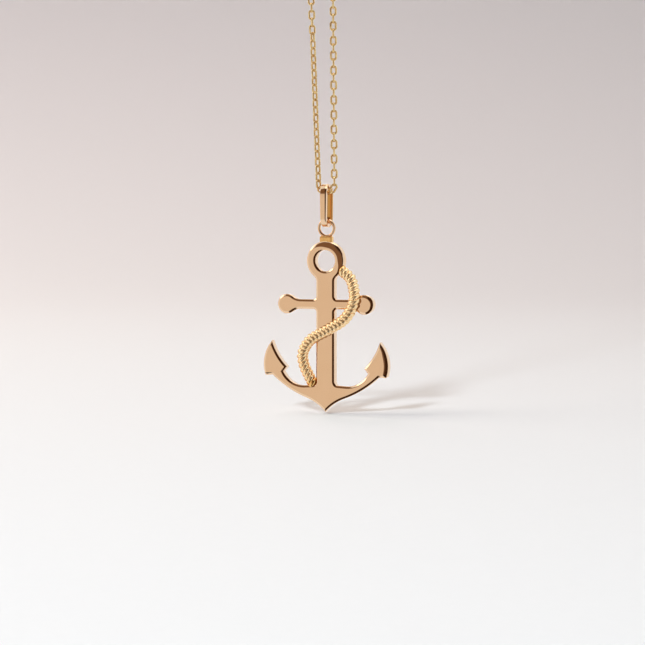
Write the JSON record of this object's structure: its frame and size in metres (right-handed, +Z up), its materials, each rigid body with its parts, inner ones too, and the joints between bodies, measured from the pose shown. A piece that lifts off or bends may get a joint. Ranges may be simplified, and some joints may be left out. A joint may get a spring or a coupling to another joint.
{
  "type": "anchor pendant on a chain",
  "caption": "Polished gold anchor pendant wound with a twisted rope, hanging by a ring and a long bail on a whole loop of fine cable chain with a clasp.",
  "frame": {"origin": "where the chain hangs: the inner side of the loop's top bend, which rests on a peg or hook", "axes": "+Z up, the front of the anchor looks along -Y, +X to the right seen from the front"},
  "size_m": [0.0202, 0.0035, 0.2299],
  "materials": {
    "gold": "mirror polished gold",
    "chain_gold": "polished gold wire"
  },
  "bodies": {
    "necklace": {"chain": "chain_gold", "clasp": "chain_gold"},
    "bail_body": {"bail": "gold"},
    "pendant": {"anchor": "gold"}
  },
  "joints": [
    {"name": "bail_swing", "type": "hinge", "parent": "necklace", "child": "bail_body", "pos_m": [0.005, 0, -0.196], "axis": [1, 0, 0], "range_deg": [-60, 60]},
    {"name": "anchor_swing", "type": "hinge", "parent": "bail_body", "child": "pendant", "pos_m": [0.005, 0, -0.20094], "axis": [0, 1, 0], "range_deg": [-35, 35]}
  ]
}
